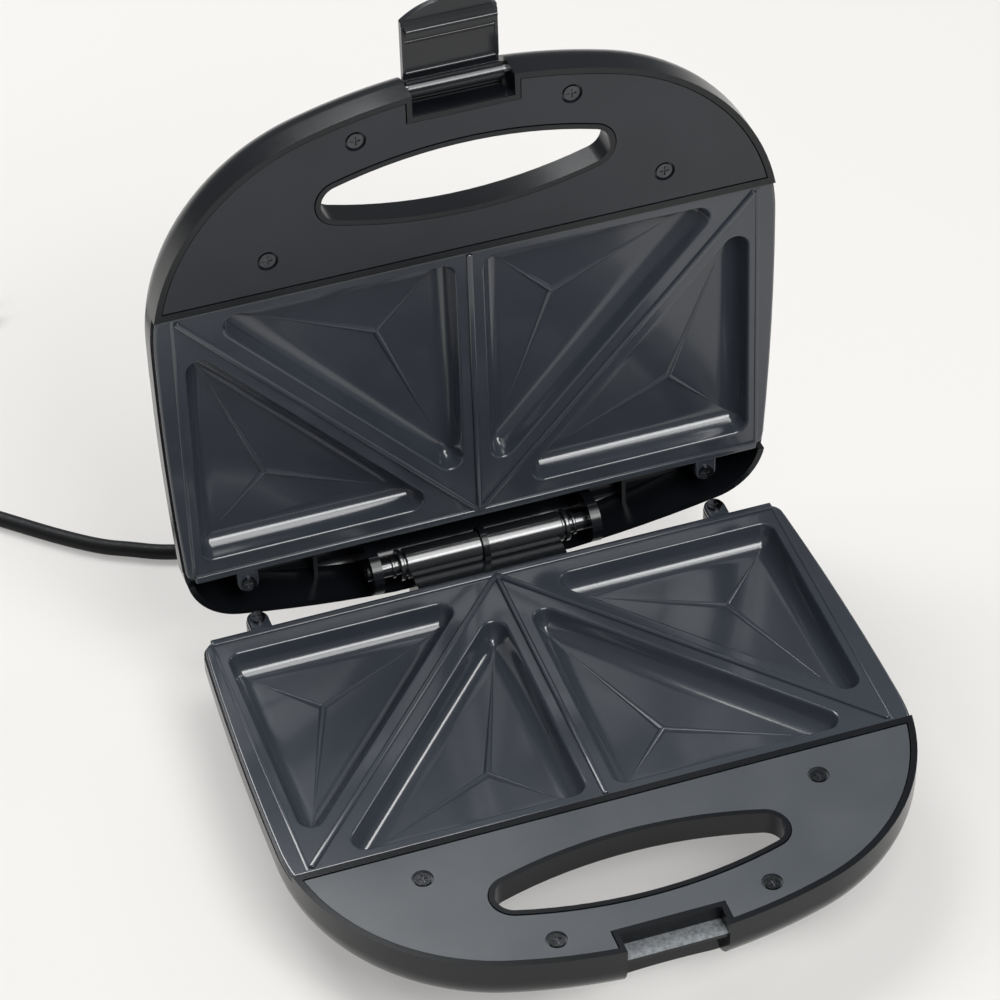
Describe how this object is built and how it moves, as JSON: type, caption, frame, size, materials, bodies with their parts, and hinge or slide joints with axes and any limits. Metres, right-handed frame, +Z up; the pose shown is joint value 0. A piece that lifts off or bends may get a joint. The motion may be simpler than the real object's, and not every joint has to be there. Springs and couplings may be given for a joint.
{
  "type": "sandwich toaster",
  "caption": "Sandwich toaster with hinged lid, pocketed cooking plates, bow handles with finger openings, latch and supply cord, shown open.",
  "frame": {"origin": "centre of the box round the toaster without its cord, on the worktop", "axes": "+X to the toaster's right, +Y to its hinge side, +Z up"},
  "size_m": [0.4204, 0.4667, 0.2803],
  "materials": {
    "housing_black": "moulded black plastic, satin to gloss",
    "base_panel_grey": "fine grained dark plastic",
    "plate_coating": "dark non-stick coating on cast aluminium",
    "heater_tube": "dull steel sheath",
    "tin_plate": "bright sheet",
    "thermostat_case": "pressed case",
    "fuse_sleeve": "woven glass sleeve",
    "pale_nylon": "natural nylon",
    "hinge_gloss": "gloss black",
    "latch_black": "satin black",
    "steel_pin": "plain steel",
    "dark_screws": "blackened steel",
    "lamp_lens": "clear red",
    "neon_glass": "clear bulb",
    "foot_rubber": "plain",
    "cord_rubber": "matt sheath",
    "plug_black": "moulded",
    "plug_metal": "plated pins"
  },
  "bodies": {
    "base": {"lower_housing": "housing_black", "lower_panel": "base_panel_grey", "lower_plate": "plate_coating", "lower_heater": "heater_tube", "lower_reflector": "tin_plate", "thermostat": "thermostat_case", "thermal_fuse": "fuse_sleeve", "terminal_block": "pale_nylon", "hinge_barrels": "hinge_gloss", "link_leads": "fuse_sleeve", "lower_panel_screws": "dark_screws", "lower_lug_screws": "dark_screws", "feet": "foot_rubber", "strain_relief": "housing_black", "cord_clamp": "pale_nylon", "clamp_screws": "steel_pin", "power_cord": "cord_rubber", "cord_coil": "cord_rubber", "cord_tail": "cord_rubber", "cord_tie": "cord_rubber", "plug_body": "plug_black", "plug_pins": "plug_metal"},
    "lid": {"upper_housing": "housing_black", "upper_panel": "base_panel_grey", "upper_plate": "plate_coating", "upper_heater": "heater_tube", "upper_reflector": "tin_plate", "latch_pin": "steel_pin", "upper_panel_screws": "dark_screws", "upper_lug_screws": "dark_screws", "indicator_lenses": "lamp_lens", "neon_lamps": "neon_glass"},
    "latch_body": {"latch": "latch_black"}
  },
  "joints": [
    {"name": "lid_hinge", "type": "hinge", "parent": "base", "child": "lid", "pos_m": [0, 0.08231, 0.0415], "axis": [1, 0, 0], "range_deg": [0, 93.9]},
    {"name": "latch_hinge", "type": "hinge", "parent": "lid", "child": "latch_body", "pos_m": [0, 0.10693, 0.2482], "axis": [1, 0, 0], "range_deg": [0, 90]}
  ]
}
